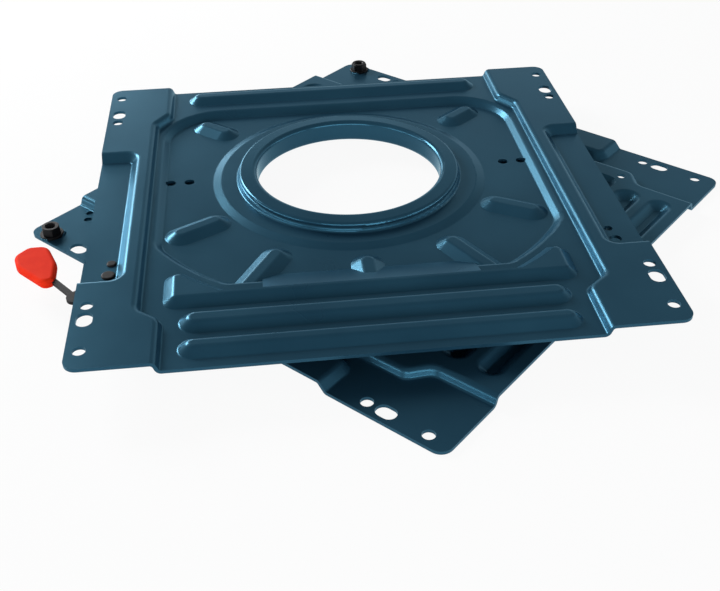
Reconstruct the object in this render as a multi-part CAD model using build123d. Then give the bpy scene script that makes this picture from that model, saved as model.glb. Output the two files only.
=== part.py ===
from build123d import *
import os
from math import atan2, cos, degrees, hypot, radians, sin, sqrt, tan

# Swivel seat base. Two pressed steel plates turn about an open hub on a ring of balls.
# Origin on the swivel axis, half way up the hub's bore. X right, Y back, Z up.
# The sizes below count heights from the lower plate's underside.

# Driving dimensions in millimetres

# The pressing that both plates share, seen from its bolting face
plate_width = 400.0
plate_depth = 393.0
corner_round = 9.0
sheet = 2.5
bend_inside = 2.0
overall_height = 30.0
hub_behind_centre = 37.0
rest_turn = 45.0

# Sunken middle panel between the two raised side flanges
panel_drop = 6.5
fold_run = 2.5
flange_front = 56.0
flange_middle = 41.0
flange_back = 53.0
front_jog_start = 46.0
front_jog_end = 58.0
back_jog_start = 52.5
back_jog_end = 69.5
jog_round = 10.0

# Sunken pockets at the middle of the two side edges
pocket_depth = 30.5
pocket_run = 6.0
pocket_from_front = 91.5
pocket_from_back = 119.0
pocket_round = 11.0

# Pan sunk below the panel, round the hub
pan_drop = 12.0
pan_run = 5.4
pan_from_side = 48.0
pan_from_back = 40.5
pan_from_front = 86.5
pan_front_radius = 178.0
pan_back_round = 48.0
pan_side_blend = 24.0
pan_front_blend = 16.0

# Raised ribs across the panel
rib_rise = 5.5
rib_run = 6.5
rib_from_front = [45.5, 18.5]
rib_from_back = 18.0
rib_widths = [22.0, 20.0, 21.0]
rib_from_side = 69.0

# Brow between the pan and the front ribs, with its long slope down into the pan
brow_run = 7.5
brow_from_front = 61.5
brow_back = 79.5
brow_from_side = 57.5
brow_horn = 22.0
brow_gap = 6.5
brow_round = 9.5
slope_foot = 14.5
slope_half_width = 75.0

# Raised fingers that reach from the pan's rim towards the hub: angle, inner and outer end
fingers = [
    (-150.5, 112.0, 165.0),
    (-120.0, 117.0, 182.0),
    (-90.0, 117.0, 178.0),
    (-60.0, 117.0, 182.0),
    (-29.5, 112.0, 165.0),
    (40.0, 118.0, 162.0),
    (140.0, 118.0, 162.0),
]
finger_width = 24.0
finger_below_panel = 0.8
finger_run = 8.0
finger_island_end = 170.0

# Bolt holes in the corner pads, and the smaller holes
bolt_from_side = 9.0
bolt_hole = 8.8
near_bolt_from_end = 64.5
far_bolt_from_end = 17.5
slot_from_end = 49.5
slot_width = 11.0
slot_length = 15.0
pan_hole = 8.0
pan_hole_inner = 128.8
pan_hole_outer = 143.8
pan_hole_behind_hub = 5.0
pivot_hole = 9.0
pivot_from_side = 18.6
pivot_from_pocket = 14.7
guide_hole = 6.4
guide_from_side = 19.8
guide_from_pivot = 14.0
gauge_hole = 7.0
gauge_holes = [(-147.0, -133.0)]
locating_dimples = [(160.0, 174.0), (153.0, 180.0)]
dimple = 6.0
dimple_depth = 1.4

# Hub ring, rolled out over both plates
hub_bore = 148.0
hub_wall = 2.2
hub_lip = 177.2
hub_lip_below_top = 2.0
hub_lip_round = 2.6
hub_crown = 0.6
hub_skirt_gap = 0.3
hub_foot = 168.0
hub_inner_roll = 3.6
hub_fit = 0.1

# Plastic slide ring under the hub's lip
slide_flange = 1.4
slide_sleeve = 1.8
slide_drop = 2.4
slide_edge_gap = 0.3
slide_gap = 0.2
sleeve_gap = 0.3

# Collar of the upper plate, which covers the balls
collar_width = 10.4
collar_rise = 3.8
collar_lean = 1.2
collar_step = 103.0
collar_foot = 110.0
collar_step_rise = 2.2
collar_flat = 2.0
collar_shoulder_round = 2.6
collar_foot_round = 1.6
collar_step_round = 4.0

# Balls and their cage
ball = 7.5
ball_count = 16
ball_clearance = 0.25
cage_thickness = 3.8
cage_width = 10.0
cage_gap = 0.3

# Weld nuts on the two rear corners of the lower plate
nut_flats = 13.0
nut_flange = 18.0
nut_flange_height = 1.8
nut_height = 8.0
nut_thread_bore = 6.8
nut_chamfer = 0.2

# Lock lever, its pivot rivet and its guide rivet
lever_sheet = 2.5
washer_thickness = 1.0
washer_width = 17.0
wave_thickness = 0.8
wave_height = 1.1
wave_edge = 0.4
rivet_head_rise = 1.3
rivet_foot_rise = 2.2
pivot_shank = 8.8
pivot_head = 9.8
pivot_foot = 15.0
pivot_running = 0.06
guide_shank = 6.2
guide_head = 7.2
guide_foot = 11.0
guide_running = 0.3
stack_gap = 0.1
lever_head = 27.0
lever_arm = 12.0
lever_neck = 12.0
tang_width = 4.2
lock_turn = 10.0
tooth_width = 9.0
tooth_gap = 0.8
bend_past_side = 3.0
bend_from_pivot = -16.7

# Dipped grip on the lever's end, as an outline about its middle
grip_past_side = 35.0
grip_from_pivot = 24.3
grip_outline = [(16, -21), (15, 0), (6, 22.5), (-8, 22.5), (-17, 12), (-13, -2), (8, -24.5)]
grip_rounds = [5, 14, 8, 8, 8, 14, 6]
grip_thickness = 8.0
grip_edge = 3.2

# Keeper on the lower plate, which the lever's tooth enters when the plates line up
keeper_sheet = 2.5
keeper_from_side = 20.1
keeper_from_pivot = 42.3
keeper_width = 26.0
keeper_foot = 17.0
keeper_below_upper = 0.7
keeper_bend = 1.5
notch_gap = 0.7
notch_depth = 4.4

# Places that follow from the sizes above, seen from the plate's centre
half_width = plate_width / 2
half_depth = plate_depth / 2
pan_half_width = half_width - pan_from_side
pan_back = half_depth - pan_from_back
pan_front = pan_from_front - half_depth
pocket_front = pocket_from_front - half_depth
bolt_half_span = half_width - bolt_from_side
near_bolt = half_depth - near_bolt_from_end
far_bolt = half_depth - far_bolt_from_end
slot_place = half_depth - slot_from_end
pivot_x = half_width - pivot_from_side
pivot_y = pocket_front + pivot_from_pocket
guide_x = half_width - guide_from_side
guide_y = pivot_y + guide_from_pivot

# Levels that follow from the sizes above
pan_rise = overall_height - pan_drop
lower_pan_top = pan_drop + sheet
upper_panel_under = overall_height - panel_drop - sheet
lower_panel_top = panel_drop + sheet
hub_inner = hub_bore / 2
hub_outer = hub_inner + hub_wall
lip_top = overall_height - hub_lip_below_top
lip_under = lip_top - hub_wall
collar_top = lip_under - slide_flange - slide_gap
collar_under = collar_top - sheet
collar_inner = hub_outer + hub_fit + slide_sleeve + sleeve_gap
collar_outer = collar_inner + collar_width
hub_centre = (pan_drop - hub_wall + lip_top) / 2
ball_level = (collar_under + lower_pan_top) / 2
cage_inner = hub_outer + cage_gap
ball_circle = cage_inner + cage_width / 2


def bend_growth(run, drop):
    """How far an outline moves sideways from one face of the sheet to the other."""
    return sheet * tan(atan2(drop, run) / 2)


def rounded_outline(points, rounds):
    """A polygon with each corner rounded by its own radius."""
    face = Polygon(*points, align=None)
    for (x, y), radius in zip(points, rounds):
        if radius > 0:
            corner = face.vertices().sort_by_distance(Vector(x, y, 0))[0]
            face = fillet(corner, radius)
    return face


def sloped(face, height, run):
    """Extrude a face by a signed height, drawing in by run on every side."""
    return extrude(face, amount=height, taper=degrees(atan2(run, abs(height))))


def edges_along(solid, outline):
    """Edges of a solid that lie on the border of a flat outline."""
    border = outline.faces()[0].outer_wire()
    return [edge for edge in solid.edges() if border.distance_to(edge.position_at(0.5)) < 0.001]


def panel_outline(grow, reach):
    """Outline of the sunken panel, open past the front and back edges."""
    front = half_width - flange_front
    middle = half_width - flange_middle
    rear = half_width - flange_back
    side = [
        (front, -reach),
        (front, front_jog_start - half_depth),
        (middle, front_jog_end - half_depth),
        (middle, half_depth - back_jog_end),
        (rear, half_depth - back_jog_start),
        (rear, reach),
    ]
    right = [(x + grow, y) for x, y in side]
    left = [(-x, y) for x, y in reversed(right)]
    rounds = [0, jog_round, jog_round, jog_round, jog_round, 0]
    return rounded_outline(right + left, rounds + rounds)


def pocket_outline(grow, reach):
    """Outline of the right-hand pocket, open past the side edge."""
    edge = half_width - pocket_depth - grow
    low = pocket_front - grow
    high = half_depth - pocket_from_back + grow
    points = [(reach, low), (reach, high), (edge, high), (edge, low)]
    return rounded_outline(points, [0, 0, pocket_round, pocket_round])


def round_corners(face, places, radius):
    """Round the corners of a face that lie nearest to some places."""
    for x, y in places:
        corner = face.vertices().sort_by_distance(Vector(x, y, 0))[0]
        face = fillet(corner, radius)
    return face


def pan_outline(grow):
    """Outline of the pan: straight sides and back, its front corners on a circle about the hub."""
    half = pan_half_width + grow
    back = pan_back + grow
    front = pan_front - grow
    radius = pan_front_radius + grow
    box = rounded_outline(
        [(-half, front), (half, front), (half, back), (-half, back)],
        [0, 0, pan_back_round, pan_back_round],
    )
    face = box & (Pos(0, hub_behind_centre) * Circle(radius))
    side_y = hub_behind_centre - sqrt(radius**2 - half**2)
    front_x = sqrt(radius**2 - (front - hub_behind_centre) ** 2)
    face = round_corners(face, [(-half, side_y), (half, side_y)], pan_side_blend)
    return round_corners(face, [(-front_x, front), (front_x, front)], pan_front_blend)


def make_brow(shrink, panel_level, crest):
    """Brow: a bar with a horn at each end that follows the pan's round corner."""
    half = half_width - brow_from_side - shrink
    front = brow_from_front - half_depth + shrink
    back = brow_back - half_depth - shrink
    horn = brow_back + brow_horn - half_depth - shrink
    radius = pan_front_radius + brow_gap + shrink
    corners = RectangleRounded(2 * half, horn - front, brow_round - shrink)
    brow = sloped(Pos(0, (front + horn) / 2, panel_level) * corners, rib_rise, brow_run)
    brow = fillet(brow.faces().sort_by(Axis.Z)[-1].edges(), crest)
    spare = 1.0
    low = panel_level - spare
    high = panel_level + rib_rise + spare
    lean = spare * brow_run / rib_rise
    bowl = turned([(0, low), (radius - lean, low), (radius + brow_run + lean, high), (0, high)])
    bowl = Pos(0, hub_behind_centre, 0) * bowl
    past = horn + brow_round
    side = [(back + lean, low), (back - brow_run - lean, high), (past, high), (past, low)]
    behind = extrude(Plane.YZ * Polygon(*side, align=None), amount=half_width, both=True)
    return brow - (bowl & behind)


def brow_slope(shift, crest_y, width):
    """Wedge that carries the brow's crest down into the pan as one long slope."""
    rise = pan_drop - panel_drop + rib_rise
    foot_y = pan_front + slope_foot
    run = foot_y - (brow_back - half_depth - brow_run)
    drop = -shift / cos(atan2(rise, run))
    crest = shift - panel_drop + rib_rise
    past_foot = 2.0
    foot_z = -pan_drop - drop - past_foot * rise / run
    points = [
        (foot_y + past_foot, foot_z),
        (crest_y, crest),
        (crest_y, foot_z - pan_drop),
        (foot_y + past_foot, foot_z - pan_drop),
    ]
    wedge = extrude(Plane.YZ * Polygon(*points, align=None), amount=width / 2, both=True)
    return wedge


def relief(underside):
    """Block that fills everything below the pressing's top face, or below its underside."""
    shift = -sheet if underside else 0.0
    crest = bend_inside if underside else bend_inside + sheet
    foot = bend_inside + sheet if underside else bend_inside
    margin = 12.0
    half_x = plate_width / 2 + margin
    half_y = plate_depth / 2 + margin
    reach = half_x + margin
    panel_level = shift - panel_drop
    pan_level = shift - pan_drop
    sign = 1.0 if underside else 0.0
    block_height = 2 * pan_drop
    block = Pos(0, 0, shift - block_height / 2) * Box(2 * half_x, 2 * half_y, block_height)

    panel_face = Pos(0, 0, shift) * panel_outline(sign * bend_growth(fold_run, panel_drop), reach)
    panel = sloped(panel_face, -panel_drop, fold_run)
    panel = fillet(panel.faces().sort_by(Axis.Z)[0].edges(), foot)
    pocket_face = Pos(0, 0, shift) * pocket_outline(sign * bend_growth(pocket_run, panel_drop), reach)
    pocket = sloped(pocket_face, -panel_drop, pocket_run)
    pocket = fillet(pocket.faces().sort_by(Axis.Z)[0].edges(), foot)
    block = block - panel - pocket - mirror(pocket, about=Plane.YZ)
    rims = edges_along(block, panel_face)
    rims += edges_along(block, pocket_face)
    rims += edges_along(block, mirror(pocket_face, about=Plane.YZ))
    block = fillet(rims, crest)

    pan_depth = pan_drop - panel_drop
    pan_face = Pos(0, 0, panel_level) * pan_outline(sign * bend_growth(pan_run, pan_depth))
    pan = sloped(pan_face, -pan_depth, pan_run)
    pan = fillet(pan.faces().sort_by(Axis.Z)[0].edges(), foot)
    block = block - pan
    block = fillet(edges_along(block, pan_face), crest)

    rib_shrink = sign * bend_growth(rib_run, rib_rise)
    rib_places = [y - half_depth for y in rib_from_front] + [half_depth - rib_from_back]
    half_length = half_width - rib_from_side - rib_shrink
    for place, width in zip(rib_places, rib_widths):
        footprint = SlotOverall(2 * half_length, width - 2 * rib_shrink)
        rib_face = Pos(0, place, panel_level) * footprint
        rib = sloped(rib_face, rib_rise, rib_run)
        rib = fillet(rib.faces().sort_by(Axis.Z)[-1].edges(), crest)
        block = block + rib
        block = fillet(edges_along(block, rib_face), foot)

    brow_shrink = sign * bend_growth(brow_run, rib_rise)
    block = block + make_brow(brow_shrink, panel_level, crest)
    crest_y = brow_back - half_depth - brow_shrink - brow_run
    block = block + brow_slope(shift, crest_y - crest * 0.2, 2 * (slope_half_width - sign * sheet))

    finger_rise = pan_depth - finger_below_panel
    finger_shrink = sign * bend_growth(finger_run, finger_rise)
    for angle, tip, end in fingers:
        footprint = SlotOverall(end - tip - 2 * finger_shrink, finger_width - 2 * finger_shrink)
        middle = (tip + end) / 2
        place = Pos(0, hub_behind_centre, pan_level) * Rot(0, 0, angle) * Pos(middle, 0, 0)
        finger = sloped(place * footprint, finger_rise, finger_run)
        finger = fillet(finger.faces().sort_by(Axis.Z)[-1].edges(), crest)
        block = block + finger
        if end < finger_island_end:
            block = fillet(edges_along(block, place * footprint), foot)
    return block


def drill(x, y, diameter):
    """A drill right through the pressing."""
    return Pos(x, y, 0) * Cylinder(diameter / 2, 4 * overall_height)


def pressing():
    """The pressed plate with its holes, its bolting face at the top on Z = 0."""
    blank = RectangleRounded(plate_width, plate_depth, corner_round)
    plate = relief(False) - relief(True)
    plate = plate & extrude(blank, amount=overall_height, both=True)
    for side in (-1, 1):
        for end in (-1, 1):
            plate -= drill(side * bolt_half_span, end * near_bolt, bolt_hole)
            plate -= drill(side * bolt_half_span, end * far_bolt, bolt_hole)
            slot = Rot(0, 0, 90) * SlotOverall(slot_length, slot_width)
            slot = Pos(side * bolt_half_span, end * slot_place) * slot
            plate -= extrude(slot, amount=overall_height, both=True)
        for x in (pan_hole_inner, pan_hole_outer):
            plate -= drill(side * x, hub_behind_centre + pan_hole_behind_hub, pan_hole)
    return plate


def turned(points, rounds=()):
    """Solid of revolution from a closed section of radius and height, with some corners rounded."""
    section = Polygon(*points, align=None)
    for (r, z), radius in rounds:
        corner = section.vertices().sort_by_distance(Vector(r, z, 0))[0]
        section = fillet(corner, radius)
    return revolve(Plane.XZ * section, axis=Axis.Z)


def ball_track():
    """Ring that grinds the shallow ball track into both plates."""
    return Pos(0, 0, ball_level) * Torus(ball_circle, ball / 2 + ball_clearance)


def make_lower_plate():
    """The pressing upside down, bored for the hub and turned to its rest angle."""
    plate = pressing()
    for x, y in gauge_holes:
        plate -= drill(x, y, gauge_hole)
    for x, y in locating_dimples:
        plate -= Pos(x, y, -sheet) * Cylinder(dimple / 2, 2 * dimple_depth)
    plate = Pos(0, -hub_behind_centre, 0) * Rot(0, 180, 0) * plate
    plate -= Cylinder(hub_outer + hub_fit, 4 * overall_height)
    plate -= ball_track()
    return Rot(0, 0, rest_turn) * plate


def make_upper_plate():
    """The pressing with the lever's holes, and the hub collar drawn up out of its pan."""
    plate = pressing()
    for side in (-1, 1):
        plate -= drill(side * pivot_x, pivot_y, pivot_hole)
        plate -= drill(side * guide_x, guide_y, guide_hole)
    plate = Pos(0, -hub_behind_centre, overall_height) * plate
    rim = collar_foot + collar_flat
    plate -= Cylinder(rim, 4 * overall_height)
    step_level = pan_rise + collar_step_rise
    wall_foot = collar_outer + collar_lean
    shoulder = bend_growth(collar_lean, collar_rise)
    step = bend_growth(collar_foot - collar_step, collar_step_rise)
    top = [
        (rim, pan_rise),
        (collar_foot, pan_rise),
        (collar_step, step_level),
        (wall_foot, step_level),
        (collar_outer, collar_top),
        (collar_inner, collar_top),
    ]
    under = [
        (collar_inner, collar_under),
        (collar_outer - shoulder, collar_under),
        (wall_foot - shoulder, step_level - sheet),
        (collar_step - step, step_level - sheet),
        (collar_foot - step, pan_rise - sheet),
        (rim, pan_rise - sheet),
    ]
    rounds = [
        (top[1], collar_step_round),
        (top[2], collar_step_round),
        (top[3], collar_foot_round),
        (top[4], collar_shoulder_round),
        (under[2], collar_shoulder_round),
        (under[3], collar_step_round),
        (under[4], collar_step_round),
    ]
    plate += turned(top + under, rounds)
    return plate - ball_track()


def make_hub_ring():
    """Rolled tube: its foot grips the lower plate, its curled lip holds the upper one down."""
    foot_top = pan_drop
    foot_under = foot_top - hub_wall
    lip = hub_lip / 2
    skirt_under = collar_top + hub_skirt_gap
    points = [
        (hub_inner, foot_under),
        (hub_foot / 2, foot_under),
        (hub_foot / 2, foot_top),
        (hub_outer, foot_top),
        (hub_outer, lip_under),
        (lip - hub_wall, lip_under),
        (lip - hub_wall, skirt_under),
        (lip, skirt_under),
        (lip, lip_top - hub_crown),
        (hub_inner, lip_top),
    ]
    rounds = [
        ((hub_inner, foot_under), hub_inner_roll),
        ((hub_inner, lip_top), hub_inner_roll),
        ((lip, lip_top - hub_crown), hub_lip_round),
    ]
    return turned(points, rounds)


def make_slide_ring():
    """L-shaped plastic ring between the hub's lip and the collar."""
    inner = hub_outer + hub_fit
    sleeve = inner + slide_sleeve
    edge = hub_lip / 2 - hub_wall - slide_edge_gap
    flange_under = lip_under - slide_flange
    sleeve_under = flange_under - slide_drop
    return turned(
        [
            (inner, sleeve_under),
            (sleeve, sleeve_under),
            (sleeve, flange_under),
            (edge, flange_under),
            (edge, lip_under),
            (inner, lip_under),
        ]
    )


def ball_places():
    """Places of the balls round the hub."""
    return PolarLocations(ball_circle, ball_count)


def make_ball_cage():
    """Flat ring with a round pocket for each ball."""
    cage = turned(
        [
            (cage_inner, ball_level - cage_thickness / 2),
            (cage_inner + cage_width, ball_level - cage_thickness / 2),
            (cage_inner + cage_width, ball_level + cage_thickness / 2),
            (cage_inner, ball_level + cage_thickness / 2),
        ]
    )
    for place in ball_places():
        cage -= Pos(0, 0, ball_level) * place * Cylinder(ball / 2 + ball_clearance, 2 * cage_thickness)
    return cage


def make_bearing_balls():
    """All the balls, each a solid of its own."""
    balls = [Pos(0, 0, ball_level) * place * Sphere(ball / 2) for place in ball_places()]
    return Compound(children=balls)


def make_weld_nut(side):
    """Flanged hexagon nut over a far bolt hole of the lower plate's rear corners."""
    flange = extrude(Circle(nut_flange / 2), amount=nut_flange_height)
    body = extrude(RegularPolygon(nut_flats / 2, 6, major_radius=False), amount=nut_height)
    cone_foot = nut_flats / 2 + nut_height
    cone_top = nut_flats / 2 - nut_chamfer
    cone = turned([(0, 0), (cone_foot, 0), (cone_top, nut_height), (0, nut_height)])
    nut = flange + (body & cone)
    nut -= Cylinder(nut_thread_bore / 2, 4 * nut_height)
    place = Pos(side * bolt_half_span, far_bolt - hub_behind_centre, sheet)
    return Rot(0, 0, rest_turn) * place * nut


# Places on the upper plate that the lock lever works from
pivot = (-pivot_x, pivot_y - hub_behind_centre)
guide = (-guide_x, guide_y - hub_behind_centre)
keeper_place = (keeper_from_side - half_width, pivot_y + keeper_from_pivot - hub_behind_centre)
keeper_radius = hypot(*keeper_place)
keeper_angle = degrees(atan2(keeper_place[1], keeper_place[0]))
tooth_reach = hypot(keeper_place[0] - pivot[0], keeper_place[1] - pivot[1])
tooth_angle = degrees(atan2(keeper_place[1] - pivot[1], keeper_place[0] - pivot[0]))
bend = (-half_width - bend_past_side, pivot[1] + bend_from_pivot)
grip = (-half_width - grip_past_side, pivot[1] + grip_from_pivot)
pocket_floor = overall_height - panel_drop
lever_top = upper_panel_under - washer_thickness - stack_gap
lever_under = lever_top - lever_sheet


def rivet(place, shank, head, foot, foot_top):
    """Rivet through the pocket floor: domed head above, flat foot below."""
    foot_under = foot_top - rivet_foot_rise
    dome = turned(
        [(0, 0), (head / 2, 0), (head / 2, rivet_head_rise), (0, rivet_head_rise)],
        [((head / 2, rivet_head_rise), rivet_head_rise * 0.85)],
    )
    body = Pos(0, 0, pocket_floor) * dome
    length = pocket_floor - foot_under
    body += Pos(0, 0, foot_under + length / 2) * Cylinder(shank / 2, length)
    body += Pos(0, 0, foot_under + rivet_foot_rise / 2) * Cylinder(foot / 2, rivet_foot_rise)
    return Pos(*place, 0) * body


def make_lever_pivot():
    """Rivet that the lever turns on."""
    foot_top = lever_under - wave_height - stack_gap
    return rivet(pivot, pivot_shank, pivot_head, pivot_foot, foot_top)


def make_guide_rivet():
    """Rivet that runs in the lever's curved slot and stops it at both ends."""
    return rivet(guide, guide_shank, guide_head, guide_foot, lever_under - guide_running)


def make_pivot_washer():
    """Flat washer between the pocket floor and the lever."""
    ring = Circle(washer_width / 2) - Circle(pivot_shank / 2 + pivot_running)
    return extrude(Pos(*pivot, upper_panel_under - washer_thickness) * ring, amount=washer_thickness)


def make_wave_washer():
    """Dished spring washer that keeps the lever where it is put."""
    inner = pivot_shank / 2 + pivot_running
    outer = pivot_foot / 2 - wave_edge
    top = wave_height
    ring = turned(
        [(inner, top - wave_thickness), (outer, 0), (outer, wave_thickness), (inner, top)],
    )
    return Pos(*pivot, lever_under - wave_height - stack_gap / 2) * ring


def limb(start, end, width):
    """Straight strip with round ends from one point to another."""
    span = hypot(end[0] - start[0], end[1] - start[1])
    angle = degrees(atan2(end[1] - start[1], end[0] - start[0]))
    middle = ((start[0] + end[0]) / 2, (start[1] + end[1]) / 2)
    return Pos(*middle) * Rot(0, 0, angle) * SlotOverall(span + width, width)


def on_circle(radius, angle):
    """Point at a radius and an angle in degrees round the swivel axis."""
    return (radius * cos(radians(angle)), radius * sin(radians(angle)))


def tooth_band(gap):
    """Ring about the lever's pivot that the tooth moves along."""
    outer = tooth_reach + tooth_width / 2 + gap
    inner = tooth_reach - tooth_width / 2 - gap
    return Pos(*pivot) * (Circle(outer) - Circle(inner))


def lever_blank():
    """The lever's flat outline at its released position."""
    root_angle = radians(tooth_angle) + (lever_arm + 2 * tooth_gap) / tooth_reach
    root_x = pivot[0] + tooth_reach * cos(root_angle)
    root_y = pivot[1] + tooth_reach * sin(root_angle)
    blank = limb(pivot, guide, lever_head)
    blank += limb(pivot, (root_x, root_y), lever_arm)
    blank += limb(pivot, bend, lever_neck)
    blank += limb(bend, grip, tang_width)
    tooth_middle = on_circle(keeper_radius + tooth_gap + lever_arm / 2, keeper_angle)
    tooth_zone = Pos(*tooth_middle) * Rot(0, 0, keeper_angle) * Rectangle(lever_arm, 4 * tooth_width)
    blank += tooth_band(0) & tooth_zone
    blank -= Pos(*pivot) * Circle(pivot_shank / 2 + pivot_running)
    reach = hypot(guide[0] - pivot[0], guide[1] - pivot[1])
    start = degrees(atan2(guide[1] - pivot[1], guide[0] - pivot[0]))
    arc = CenterArc(pivot, reach, start, lock_turn)
    blank -= SlotArc(arc, guide_shank + 2 * guide_running)
    return blank


def make_lock_lever():
    """Flat steel lever: tooth at one end, tang for the grip at the other."""
    return extrude(Pos(0, 0, lever_under) * lever_blank(), amount=lever_sheet)


def make_lever_grip(lever):
    """Soft dipped grip, a rounded paddle over the lever's tang."""
    body = extrude(rounded_outline(grip_outline, grip_rounds), amount=grip_thickness / 2, both=True)
    body = fillet(body.faces().sort_by(Axis.Z)[-1].edges(), grip_edge)
    body = fillet(body.faces().sort_by(Axis.Z)[0].edges(), grip_edge)
    return Pos(*grip, lever_under + lever_sheet / 2) * body - lever


def make_keeper():
    """Bent bracket welded on the lower plate's pocket, with a notch for the lever's tooth."""
    top = upper_panel_under - keeper_below_upper
    rise = top - lower_panel_top
    upright = Pos(-keeper_sheet / 2, 0, rise / 2) * Box(keeper_sheet, keeper_width, rise)
    foot = Box(keeper_foot, keeper_width, keeper_sheet)
    foot = Pos(keeper_foot / 2 - keeper_sheet, 0, keeper_sheet / 2) * foot
    bracket = upright + foot
    inside = bracket.edges().filter_by(Axis.Y).sort_by_distance(Vector(0, 0, keeper_sheet))[0]
    bracket = fillet(inside, keeper_bend)
    outside = bracket.edges().filter_by(Axis.Y).sort_by_distance(Vector(-keeper_sheet, 0, 0))[0]
    bracket = fillet(outside, keeper_bend + keeper_sheet * 0.5)
    bracket = Rot(0, 0, keeper_angle) * Pos(keeper_radius, 0, lower_panel_top) * bracket
    notch = Pos(0, 0, top - notch_depth) * tooth_band(notch_gap)
    bracket -= extrude(notch, amount=2 * notch_depth)
    return Rot(0, 0, rest_turn) * bracket


lock_lever = make_lock_lever()
nodes = {
    "lower_plate": make_lower_plate(),
    "upper_plate": make_upper_plate(),
    "hub_ring": make_hub_ring(),
    "slide_ring": make_slide_ring(),
    "ball_cage": make_ball_cage(),
    "bearing_balls": make_bearing_balls(),
    "weld_nut_left": make_weld_nut(-1),
    "weld_nut_back": make_weld_nut(1),
    "keeper": make_keeper(),
    "lever_pivot": make_lever_pivot(),
    "guide_rivet": make_guide_rivet(),
    "pivot_washer": make_pivot_washer(),
    "wave_washer": make_wave_washer(),
    "lock_lever": lock_lever,
    "lever_grip": make_lever_grip(lock_lever),
}

os.makedirs("parts", exist_ok=True)
for name, shape in nodes.items():
    export_step(Pos(0, 0, -hub_centre) * shape, f"parts/{name}.step")
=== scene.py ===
# %% [markdown]
# # A swivel seat base
# The part is a flat turntable that lets a camper's seat turn round. Two square steel pressings are
# stacked with their corners apart, and a rolled hub holds them together over a ring of balls.
# The solids come in as a fixed frame in metres: X right, Y back, Z up, origin on the swivel axis.

# %% Load the frame
import math

import bmesh
import bpy
from mathutils import Matrix, Vector


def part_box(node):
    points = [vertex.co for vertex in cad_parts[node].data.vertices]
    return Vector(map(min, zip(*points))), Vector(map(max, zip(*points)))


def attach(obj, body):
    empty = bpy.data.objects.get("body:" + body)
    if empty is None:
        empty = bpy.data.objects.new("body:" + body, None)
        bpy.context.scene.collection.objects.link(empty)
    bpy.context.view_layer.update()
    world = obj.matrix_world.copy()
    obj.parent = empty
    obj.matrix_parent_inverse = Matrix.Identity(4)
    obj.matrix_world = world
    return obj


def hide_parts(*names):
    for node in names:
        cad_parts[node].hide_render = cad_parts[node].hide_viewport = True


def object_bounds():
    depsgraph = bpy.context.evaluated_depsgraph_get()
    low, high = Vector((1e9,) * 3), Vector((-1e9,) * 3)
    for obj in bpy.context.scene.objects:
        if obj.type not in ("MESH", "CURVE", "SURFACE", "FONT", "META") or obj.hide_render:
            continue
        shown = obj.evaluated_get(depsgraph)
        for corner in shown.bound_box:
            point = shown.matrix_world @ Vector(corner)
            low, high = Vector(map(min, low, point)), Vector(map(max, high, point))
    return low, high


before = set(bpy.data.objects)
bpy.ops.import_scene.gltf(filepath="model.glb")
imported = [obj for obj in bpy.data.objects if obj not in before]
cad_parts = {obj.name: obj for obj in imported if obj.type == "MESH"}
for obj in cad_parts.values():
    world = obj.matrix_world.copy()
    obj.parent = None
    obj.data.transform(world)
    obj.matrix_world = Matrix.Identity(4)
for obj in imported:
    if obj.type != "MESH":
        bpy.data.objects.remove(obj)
solid_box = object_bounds()
MM = 0.001
print("box of the solids:", solid_box)

# %% [markdown]
# ## Colour and nodes
# Paint charts give colours as sRGB hex values, while Blender's shaders work in linear light. One
# function does that step. One more adds a node with its settings and links, so that a material reads
# from top to bottom as a list of what happens to the surface. The last one turns a size in millimetres
# into the scale that a noise texture wants.

# %% Helpers for materials
def linear(hex_colour):
    """Turn an sRGB hex colour into linear red, green, blue and alpha."""
    values = [int(hex_colour[i:i + 2], 16) / 255 for i in (1, 3, 5)]
    return [v / 12.92 if v <= 0.04045 else ((v + 0.055) / 1.055) ** 2.4 for v in values] + [1.0]


def add_node(tree, kind, settings=None, inputs=None, links=None):
    """Add one node: its own settings, its socket values, and the outputs that feed its sockets."""
    node = tree.nodes.new(kind)
    for name, value in (settings or {}).items():
        setattr(node, name, value)
    for socket, value in (inputs or {}).items():
        node.inputs[socket].default_value = value
    for socket, output in (links or {}).items():
        tree.links.new(output, node.inputs[socket])
    return node


def new_material(name):
    """A node material with nothing in it yet, and its tree."""
    material = bpy.data.materials.new(name)
    material.use_nodes = True
    material.node_tree.nodes.clear()
    return material, material.node_tree


def cells_per_metre(size_mm):
    """Texture scale that makes one cell of a pattern a given size."""
    return 1.0 / (size_mm * MM)


print("half-way grey in linear light:", round(linear("#808080")[0], 3))

# %% [markdown]
# ## Powder coat on pressed steel
# The pressings are powder coated in a satin blue-black with a fine metal flake. The powder melts into
# one skin, so the eye sees a dark colour, soft blue-tinted highlights on every bend, and the slow
# ripple that painters call orange peel. A layered shader could hold paint over flake, but one
# Principled shader that is partly metallic gives the same look and survives the export. The ripple is
# drawn at its real size of about two millimetres. The hub is rolled smooth, so its coat is glossier.

# %% Satin blue-black powder coat
ORANGE_PEEL_MM = 2.2
ORANGE_PEEL_DEPTH_MM = 0.05
CLOUD_MM = 85.0
CLOUD_STOPS = (0.3, 0.72)
GLOSS_SPREAD = 0.04
FLAKE_SHARE = 0.45
POWDER_IOR = 1.5
HIGHLIGHT_TINT = "#80E4FF"
COAT_BASE, COAT_PALE = "#214459", "#284D62"


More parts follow.
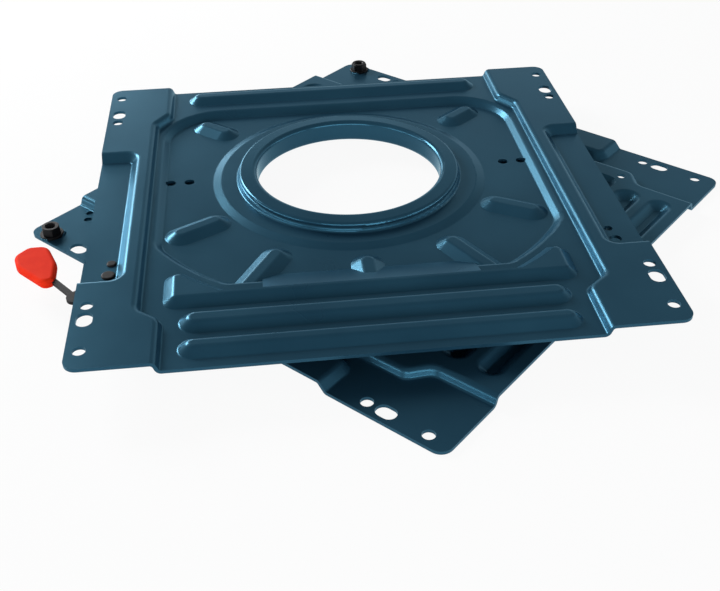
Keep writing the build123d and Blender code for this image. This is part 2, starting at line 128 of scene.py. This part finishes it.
def powder_coat(name, roughness):
    """Baked powder skin: slow clouds in its colour and gloss, and a shallow orange peel."""
    material, tree = new_material(name)
    place = add_node(tree, "ShaderNodeTexCoord")
    clouds = add_node(tree, "ShaderNodeTexNoise",
                      inputs={"Scale": cells_per_metre(CLOUD_MM), "Detail": 3.0, "Roughness": 0.55},
                      links={"Vector": place.outputs["Object"]})
    colour = add_node(tree, "ShaderNodeValToRGB", links={"Fac": clouds.outputs["Fac"]})
    for stop, position, tone in zip(colour.color_ramp.elements, CLOUD_STOPS, (COAT_BASE, COAT_PALE)):
        stop.position, stop.color = position, linear(tone)
    gloss = add_node(tree, "ShaderNodeMapRange",
                     inputs={"From Min": 0.25, "From Max": 0.75,
                             "To Min": roughness - GLOSS_SPREAD, "To Max": roughness + GLOSS_SPREAD},
                     links={"Value": clouds.outputs["Fac"]})
    peel = add_node(tree, "ShaderNodeTexNoise",
                    inputs={"Scale": cells_per_metre(ORANGE_PEEL_MM), "Detail": 2.0, "Roughness": 0.5},
                    links={"Vector": place.outputs["Object"]})
    bump = add_node(tree, "ShaderNodeBump",
                    inputs={"Strength": 0.10, "Distance": ORANGE_PEEL_DEPTH_MM * MM},
                    links={"Height": peel.outputs["Fac"]})
    skin = add_node(tree, "ShaderNodeBsdfPrincipled",
                    inputs={"Metallic": FLAKE_SHARE, "IOR": POWDER_IOR,
                            "Specular Tint": linear(HIGHLIGHT_TINT)},
                    links={"Base Color": colour.outputs["Color"], "Roughness": gloss.outputs["Result"],
                           "Normal": bump.outputs["Normal"]})
    add_node(tree, "ShaderNodeOutputMaterial", links={"Surface": skin.outputs["BSDF"]})
    return material


blue_black = powder_coat("blue_black_powder_coat", 0.3)
rolled_coat = powder_coat("blue_black_coat_on_rolled_hub", 0.2)
print("made", blue_black.name, "and", rolled_coat.name)

# %% [markdown]
# ## The dipped grip
# The lever's end is dipped hot into liquid vinyl, which sets to a soft red skin with rounded edges. The
# eye sees a strong, nearly matt red with slight sags from the dip. Scattering under the skin would be
# an option, but the pigment is dense, so a rough surface with a weak highlight is enough.

# %% Red dipped vinyl
SAG_MM = 9.0
SAG_DEPTH_MM = 0.4
SAG_STOPS = (0.35, 0.7)
VINYL_IOR = 1.5
VINYL_ROUGHNESS = 0.75


def dipped_vinyl(name, base, pale):
    """Soft vinyl: bright pigment, a weak highlight and slow sags."""
    material, tree = new_material(name)
    place = add_node(tree, "ShaderNodeTexCoord")
    sag = add_node(tree, "ShaderNodeTexNoise",
                   inputs={"Scale": cells_per_metre(SAG_MM), "Detail": 2.0},
                   links={"Vector": place.outputs["Object"]})
    colour = add_node(tree, "ShaderNodeValToRGB", links={"Fac": sag.outputs["Fac"]})
    for stop, position, tone in zip(colour.color_ramp.elements, SAG_STOPS, (base, pale)):
        stop.position, stop.color = position, linear(tone)
    bump = add_node(tree, "ShaderNodeBump", inputs={"Strength": 0.25, "Distance": SAG_DEPTH_MM * MM},
                    links={"Height": sag.outputs["Fac"]})
    skin = add_node(tree, "ShaderNodeBsdfPrincipled",
                    inputs={"Roughness": VINYL_ROUGHNESS, "IOR": VINYL_IOR, "Specular IOR Level": 0.1},
                    links={"Base Color": colour.outputs["Color"], "Normal": bump.outputs["Normal"]})
    add_node(tree, "ShaderNodeOutputMaterial", links={"Surface": skin.outputs["BSDF"]})
    return material


red_vinyl = dipped_vinyl("dipped_red_vinyl", "#F02C0E", "#F63414")
print("made", red_vinyl.name)

# %% [markdown]
# ## Small hardware
# The nuts and the rivets are blackened steel. The lever is given the same near-black finish as painted
# shade, for the shade it lies in under the upper plate, though its own coat is the plates' blue-black.
# The washers are zinc plated, the balls are polished bearing steel. Inside the bearing, the slide ring is
# black acetal and the cage is natural nylon. Each gets a fine grain, so that no surface is one flat
# value.
# Real plating and moulding grain is a few hundredths of a millimetre, so it is drawn at about a
# millimetre to show at all.

# %% A finish with a fine grain
GRAIN_STOPS = (0.3, 0.7)
GRAIN_DEPTH_MM = 0.03


def grained(name, base, pale, grain_mm, roughness, spread, settings):
    """A plain finish with a fine grain in its colour and its gloss."""
    material, tree = new_material(name)
    place = add_node(tree, "ShaderNodeTexCoord")
    grain = add_node(tree, "ShaderNodeTexNoise",
                     inputs={"Scale": cells_per_metre(grain_mm), "Detail": 4.0, "Roughness": 0.6},
                     links={"Vector": place.outputs["Object"]})
    colour = add_node(tree, "ShaderNodeValToRGB", links={"Fac": grain.outputs["Fac"]})
    for stop, position, tone in zip(colour.color_ramp.elements, GRAIN_STOPS, (base, pale)):
        stop.position, stop.color = position, linear(tone)
    gloss = add_node(tree, "ShaderNodeMapRange",
                     inputs={"From Min": GRAIN_STOPS[0], "From Max": GRAIN_STOPS[1],
                             "To Min": roughness - spread, "To Max": roughness + spread},
                     links={"Value": grain.outputs["Fac"]})
    bump = add_node(tree, "ShaderNodeBump", inputs={"Strength": 0.15, "Distance": GRAIN_DEPTH_MM * MM},
                    links={"Height": grain.outputs["Fac"]})
    skin = add_node(tree, "ShaderNodeBsdfPrincipled", inputs=settings,
                    links={"Base Color": colour.outputs["Color"], "Roughness": gloss.outputs["Result"],
                           "Normal": bump.outputs["Normal"]})
    add_node(tree, "ShaderNodeOutputMaterial", links={"Surface": skin.outputs["BSDF"]})
    return material


# %% Metals and bearing plastics
# Black oxide is a thin oiled skin: nearly black, half dull, with little of the steel's shine left.
# On the lever the same finish is painted shade, for the shade under the upper plate.
black_oxide_and_shade = grained("black_oxide_steel", "#0D0E10", "#17181B", 0.9, 0.5, 0.06,
                      {"Metallic": 0.25, "Specular IOR Level": 0.2})
# Bright zinc plating is a pale, slightly blue metal with a soft shine.
zinc = grained("zinc_plated_steel", "#A9ADB2", "#C3C7CB", 1.2, 0.3, 0.06, {"Metallic": 1.0})
# Bearing balls are lapped until they mirror.
bearing_steel = grained("polished_bearing_steel", "#C4C6C9", "#D2D4D6", 3.0, 0.1, 0.03, {"Metallic": 1.0})
# Moulded acetal is slippery and satin black.
acetal = grained("black_acetal", "#141517", "#1D1F21", 0.7, 0.45, 0.05, {"IOR": 1.48})
# Natural nylon is cream and lets a little light in below its surface.
nylon = grained("natural_nylon", "#CFC8B4", "#DCD6C4", 1.5, 0.5, 0.05,
                {"IOR": 1.53, "Subsurface Weight": 0.05, "Subsurface Scale": 1.0 * MM})
print("made", [m.name for m in (black_oxide_and_shade, zinc, bearing_steel, acetal, nylon)])

# %% [markdown]
# ## Dressing the solids
# The pressed plates, the hub, the lever and the bearing already have their real shapes, so they stay
# and take a finish each. The two nuts are replaced further down, and are dressed here all the same.

# %% Finishes for the carried-over solids
finishes = {
    "lower_plate": blue_black, "upper_plate": blue_black, "hub_ring": rolled_coat, "keeper": blue_black,
    # The lock lever's near-black finish is painted shade for the shade it lies in; its own coat is the
    # plates' blue-black.
    "lock_lever": black_oxide_and_shade, "lever_grip": red_vinyl, "weld_nut_left": black_oxide_and_shade,
    "weld_nut_back": black_oxide_and_shade, "lever_pivot": black_oxide_and_shade, "guide_rivet": black_oxide_and_shade,
    "pivot_washer": zinc, "wave_washer": zinc, "slide_ring": acetal, "ball_cage": nylon,
    "bearing_balls": bearing_steel,
}


def give_finish(obj, material):
    """Put one material on every face of an object."""
    for slot in obj.material_slots:
        slot.material = material
    if not obj.material_slots:
        obj.data.materials.append(material)


for node_name, material in finishes.items():
    give_finish(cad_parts[node_name], material)
print("dressed", len(finishes), "solids")

# %% [markdown]
# ## Weld nuts with a cut thread
# The two nuts are pressed hexagons with a round flange, and their bore has an M8 thread. A thread could
# be a bump, but a bump vanishes at the rim of the hole, so it is real here. Every angle round the nut
# gets one closed section, and the bore's part of it climbs by one pitch in a full turn.

# %% A lofted mesh from rings of points
SHARP_DEG = 32.0


def loft(name, rings, wrap, material):
    """Skin a list of closed rings, joined end to end or capped at both ends."""
    count = len(rings[0])
    spans = len(rings) if wrap else len(rings) - 1
    points = [point for ring in rings for point in ring]
    faces = []
    for i in range(spans):
        here, there = i * count, (i + 1) % len(rings) * count
        for j in range(count):
            k = (j + 1) % count
            faces.append((here + j, there + j, there + k, here + k))
    if not wrap:
        last = (len(rings) - 1) * count
        faces.append(tuple(range(count)))
        faces.append(tuple(last + j for j in reversed(range(count))))
    mesh = bpy.data.meshes.new(name)
    mesh.from_pydata(points, [], faces)
    skin = bmesh.new()
    skin.from_mesh(mesh)
    bmesh.ops.recalc_face_normals(skin, faces=skin.faces)
    skin.to_mesh(mesh)
    skin.free()
    mesh.shade_smooth()
    mesh.set_sharp_from_angle(angle=math.radians(SHARP_DEG))
    mesh.materials.append(material)
    piece = bpy.data.objects.new(name, mesh)
    bpy.context.scene.collection.objects.link(piece)
    return piece


# %% The nut's section at one angle
NUT_FLATS_MM = 13.0
NUT_FLANGE_MM = 18.0
FLANGE_HEIGHT_MM = 1.8
FLANGE_EDGE_MM = 0.35
NUT_FACE_MM = 12.6
THREAD_MM = 8.0
CORE_MM = 6.8
PITCH_MM = 1.25
COUNTERSINK_MM = 0.2
STEPS_PER_TURN = 8


def hexagon_radius(angle):
    """Distance from the nut's axis to its hexagon at an angle."""
    sector = math.radians(60.0)
    return NUT_FLATS_MM / 2 / math.cos(angle % sector - sector / 2)


def thread_radius(height, turn, nut_height):
    """Bore radius: a V thread with a small countersink at each end."""
    phase = (height / PITCH_MM - turn) % 1.0
    groove = 1.0 - abs(2.0 * phase - 1.0)
    cut = CORE_MM / 2 + (THREAD_MM - CORE_MM) / 2 * groove
    mouth = THREAD_MM / 2 + COUNTERSINK_MM - min(height, nut_height - height)
    return max(cut, mouth)


def nut_section(angle, nut_height):
    """One closed section of the nut, as radius and height: outside up, bore down."""
    rim, face = NUT_FLANGE_MM / 2, NUT_FACE_MM / 2
    corner = hexagon_radius(angle)
    shoulder = nut_height - (corner - face)
    outside = [
        (rim, 0.0), (rim, FLANGE_HEIGHT_MM - FLANGE_EDGE_MM), (rim - FLANGE_EDGE_MM, FLANGE_HEIGHT_MM),
        (corner, FLANGE_HEIGHT_MM), (corner, shoulder), (face, nut_height),
    ]
    steps = int(nut_height / PITCH_MM * STEPS_PER_TURN)
    bore = []
    for k in range(steps + 1):
        height = nut_height * (1.0 - k / steps)
        bore.append((thread_radius(height, angle / math.tau, nut_height), height))
    return outside + bore


print("bore of the nut at its mouth:", round(2 * thread_radius(0.0, 0.0, PITCH_MM), 2), "mm")

# %% Two threaded nuts
NUT_ANGLES = 96
NUT_TURN_DEG = 45.0


def add_weld_nut(node_name):
    """Threaded nut in the place of a plain one."""
    low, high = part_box(node_name)
    nut_height = (high[2] - low[2]) / MM
    middle = Vector(((low[0] + high[0]) / 2, (low[1] + high[1]) / 2, low[2]))
    rings = []
    for i in range(NUT_ANGLES):
        angle = math.tau * i / NUT_ANGLES
        turn = angle + math.radians(NUT_TURN_DEG)
        rings.append([middle + Vector((r * math.cos(turn), r * math.sin(turn), z)) * MM
                      for r, z in nut_section(angle, nut_height)])
    nut = loft(node_name + "_threaded", rings, True, black_oxide_and_shade)
    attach(nut, "base")
    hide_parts(node_name)
    print(nut.name, "has", len(nut.data.polygons), "faces")
    return middle


nut_middles = [add_weld_nut(name) for name in ("weld_nut_left", "weld_nut_back")]

# %% [markdown]
# ## Weld beads
# The nuts and the keeper are welded to the lower plate before it is coated, so the coat covers the
# beads too. A bead sets in small ripples behind the torch. A bevelled curve would give a smooth worm,
# so it is lofted from rings along its path whose size swells once per ripple, with closed ends. Half of
# it lies in the corner that it fills.

# %% A rippled bead along a path
RIPPLE_MM = 1.3
RIPPLE_SHARE = 0.12
END_POWER = 6
END_LEAST = 0.02
RING_POINTS = 14
BEAD_STEPS = 40
UPWARD = Vector((0.0, 0.0, 1.0))


def weld_bead(name, path, size_mm):
    """Rippled bead along a list of points, drawn in at both ends."""
    rings = []
    walked = 0.0
    for i, point in enumerate(path):
        before, after = path[max(i - 1, 0)], path[min(i + 1, len(path) - 1)]
        across = (after - before).normalized().cross(UPWARD)
        walked += (point - before).length / MM
        from_middle = 2.0 * i / (len(path) - 1) - 1.0
        ends = math.sqrt(max(1.0 - from_middle ** END_POWER, END_LEAST))
        ripple = 1.0 + RIPPLE_SHARE * math.sin(math.tau * walked / RIPPLE_MM)
        size = size_mm * ends * ripple * MM
        rings.append([point + (across * math.cos(a) + UPWARD * math.sin(a)) * size
                      for a in (math.tau * j / RING_POINTS for j in range(RING_POINTS))])
    bead = loft(name, rings, False, blue_black)
    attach(bead, "base")
    return bead


# %% Three beads round each nut
NUT_BEAD_MM = 1.1
NUT_BEADS = 3
NUT_BEAD_TURN = 0.12
NUT_BEAD_OUT_MM = 0.3

reach = (NUT_FLANGE_MM / 2 + NUT_BEAD_OUT_MM) * MM
for number, middle in enumerate(nut_middles):
    for third in range(NUT_BEADS):
        sweep = [math.tau * (third / NUT_BEADS + NUT_BEAD_TURN * (k / BEAD_STEPS - 0.5))
                 for k in range(BEAD_STEPS + 1)]
        path = [middle + Vector((math.cos(a), math.sin(a), 0.0)) * reach for a in sweep]
        weld_bead(f"nut_weld_{number}_{third}", path, NUT_BEAD_MM)
print("laid", NUT_BEADS * len(nut_middles), "beads round the nuts")

# %% A bead along each side of the keeper's foot
KEEPER_BEAD_MM = 1.6
KEEPER_BEAD_FROM = -0.6
KEEPER_BEAD_RUN = 1.5
SOLE_DEPTH_MM = 0.05

keeper_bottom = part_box("keeper")[0][2]
sole = [v.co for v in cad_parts["keeper"].data.vertices if v.co.z < keeper_bottom + SOLE_DEPTH_MM * MM]
sole_middle = Vector([(min(c[i] for c in sole) + max(c[i] for c in sole)) / 2 for i in range(3)])
outward = Vector((sole_middle.x, sole_middle.y, 0.0)).normalized()
sideways = Vector((-outward.y, outward.x, 0.0))
half_length = max(abs((c - sole_middle).dot(outward)) for c in sole)
half_breadth = max(abs((c - sole_middle).dot(sideways)) for c in sole)
for side, side_name in ((-1, "left"), (1, "right")):
    edge = sole_middle + sideways * side * half_breadth
    path = [edge + outward * half_length * (KEEPER_BEAD_FROM + KEEPER_BEAD_RUN * k / BEAD_STEPS)
            for k in range(BEAD_STEPS + 1)]
    weld_bead("keeper_weld_" + side_name, path, KEEPER_BEAD_MM)
print("keeper's foot is", round(2 * half_breadth / MM, 1), "mm broad")

# %% [markdown]
# ## Camera
# The photograph was taken from the front, a little to the left, looking down at about 37 degrees. The
# place and the focal length come from the plate's four corners and the hub's circle. Three angles turn
# the camera, and its axes are worked out from them, so that no helper has to know the picture's size.

# %% Camera
IMAGE_WIDTH = 720
FOCAL_PX = 1009.36
CAMERA_MM = (-67.2, -714.9, 410.5)
TURN_DEG, DOWN_DEG, ROLL_DEG = -5.98, 36.65, -0.83

turn, down, roll = (math.radians(angle) for angle in (TURN_DEG, DOWN_DEG, ROLL_DEG))
back = Vector((math.sin(turn) * math.cos(down), -math.cos(turn) * math.cos(down), math.sin(down)))
level_right = Vector((math.cos(turn), math.sin(turn), 0.0))
level_up = back.cross(level_right)
right = level_right * math.cos(roll) + level_up * math.sin(roll)
axes = Matrix((right, back.cross(right), back)).transposed().to_4x4()

camera_data = bpy.data.cameras.new("camera")
camera_data.sensor_fit = "HORIZONTAL"
camera_data.sensor_width = 36.0
camera_data.lens = camera_data.sensor_width * FOCAL_PX / IMAGE_WIDTH
camera_data.clip_start = 0.01
camera = bpy.data.objects.new("camera", camera_data)
bpy.context.scene.collection.objects.link(camera)
camera.matrix_world = Matrix.Translation(Vector(CAMERA_MM) * MM) @ axes
bpy.context.scene.camera = camera
print("lens", round(camera_data.lens, 2), "mm")

# %% [markdown]
# ## Floor
# The part lies on a pale floor that runs out of the picture. More light would make the floor white but
# bleach the paint, so the floor is white by itself: for rays from the camera and for reflections it
# glows with a strength of one, mixed with a little matt white that keeps the part's shadow.

# %% Pale floor
FLOOR_SIZE = 12.0
FLOOR_GAP_MM = 0.2
FLOOR_WHITE = 0.93


def background_rays(tree):
    """One for rays from the camera, from gloss and through clear material, zero for the rest."""
    path = add_node(tree, "ShaderNodeLightPath")
    seen = path.outputs["Is Camera Ray"]
    for kind in ("Is Glossy Ray", "Is Transmission Ray"):
        either = add_node(tree, "ShaderNodeMath", {"operation": "MAXIMUM"},
                          links={0: seen, 1: path.outputs[kind]})
        seen = either.outputs[0]
    return seen


half = FLOOR_SIZE / 2
floor_mesh = bpy.data.meshes.new("floor")
floor_mesh.from_pydata([(-half, -half, 0), (half, -half, 0), (half, half, 0), (-half, half, 0)],
                       [], [(0, 1, 2, 3)])
floor = bpy.data.objects.new("floor", floor_mesh)
bpy.context.scene.collection.objects.link(floor)
floor.location.z = solid_box[0][2] - FLOOR_GAP_MM * MM
floor_material, floor_tree = new_material("pale_floor")
white_share = add_node(floor_tree, "ShaderNodeMath", {"operation": "MULTIPLY"}, inputs={1: FLOOR_WHITE},
                       links={0: background_rays(floor_tree)})
matt = add_node(floor_tree, "ShaderNodeBsdfDiffuse", inputs={"Color": linear("#F2F2F2")})
glow = add_node(floor_tree, "ShaderNodeEmission", inputs={"Color": linear("#FFFFFF"), "Strength": 1.0})
floor_mix = add_node(floor_tree, "ShaderNodeMixShader",
                     links={0: white_share.outputs[0], 1: matt.outputs[0], 2: glow.outputs[0]})
add_node(floor_tree, "ShaderNodeOutputMaterial", links={"Surface": floor_mix.outputs[0]})
floor_mesh.materials.append(floor_material)
print("floor at", round(floor.location.z / MM, 2), "mm")

# %% [markdown]
# ## Sky
# The part was photographed on a white sweep in a darker room: its flats mirror the dark above, and its
# bends mirror the white near the horizon. The sky does the same. To the camera and to reflections it is
# white up to a low angle and then falls off to a grey ceiling. What lights the part from it is only a
# weak, slightly blue fill.

# %% Studio sky
BACKDROP_TOP_DEG = 12.0
CEILING_FROM_DEG = 36.0
CEILING_LEVEL = 0.35
FILL_LEVEL = 0.22

world = bpy.data.worlds.new("studio")
bpy.context.scene.world = world
world.use_nodes = True
sky = world.node_tree
sky.nodes.clear()
fill = add_node(sky, "ShaderNodeBackground", inputs={"Color": linear("#DCE6F0"), "Strength": FILL_LEVEL})
towards = add_node(sky, "ShaderNodeTexCoord")
height = add_node(sky, "ShaderNodeSeparateXYZ", links={"Vector": towards.outputs["Generated"]})
backdrop = add_node(sky, "ShaderNodeMapRange", {"interpolation_type": "SMOOTHSTEP"},
                    inputs={"From Min": math.sin(math.radians(BACKDROP_TOP_DEG)),
                            "From Max": math.sin(math.radians(CEILING_FROM_DEG)),
                            "To Min": 1.0, "To Max": CEILING_LEVEL},
                    links={"Value": height.outputs["Z"]})
white = add_node(sky, "ShaderNodeBackground", inputs={"Color": linear("#FFFFFF")},
                 links={"Strength": backdrop.outputs["Result"]})
sky_mix = add_node(sky, "ShaderNodeMixShader",
                   links={0: background_rays(sky), 1: fill.outputs[0], 2: white.outputs[0]})
add_node(sky, "ShaderNodeOutputWorld", links={"Surface": sky_mix.outputs[0]})
print("sky is white up to", BACKDROP_TOP_DEG, "degrees")

# %% [markdown]
# ## Lamps
# The key is a soft box behind the part on the left, which draws the pale streaks on the left-hand walls.
# Four low strips stand round the part, and the bends and the hub's lip mirror them as thin lines. Each
# lamp is given by its place in metres, its width and height, and its power in watts.

# %% Key and low strips
LAMPS = {
    "key": ((-1.1, 1.1, 0.75), (0.6, 0.6), 28.0),
    "back_strip": ((-0.75, 1.3, 0.2), (1.0, 0.4), 5.0),
    "left_strip": ((-1.8, -0.3, 0.27), (2.0, 0.2), 10.0),
    "front_strip": ((0.1, -1.75, 0.4), (2.4, 0.5), 19.0),
    "right_strip": ((1.8, -0.5, 0.25), (1.6, 0.17), 5.0),
}

for lamp_name, (place, size, power) in LAMPS.items():
    lamp_data = bpy.data.lights.new(lamp_name, "AREA")
    lamp_data.shape = "RECTANGLE"
    lamp_data.size, lamp_data.size_y = size
    lamp_data.energy = power
    lamp = bpy.data.objects.new(lamp_name, lamp_data)
    bpy.context.scene.collection.objects.link(lamp)
    lamp.location = place
    lamp.rotation_euler = (-Vector(place)).to_track_quat("-Z", "Y").to_euler()
    lamp.visible_camera = False
bpy.context.scene.view_settings.view_transform = "Standard"
print("lamps:", ", ".join(LAMPS))
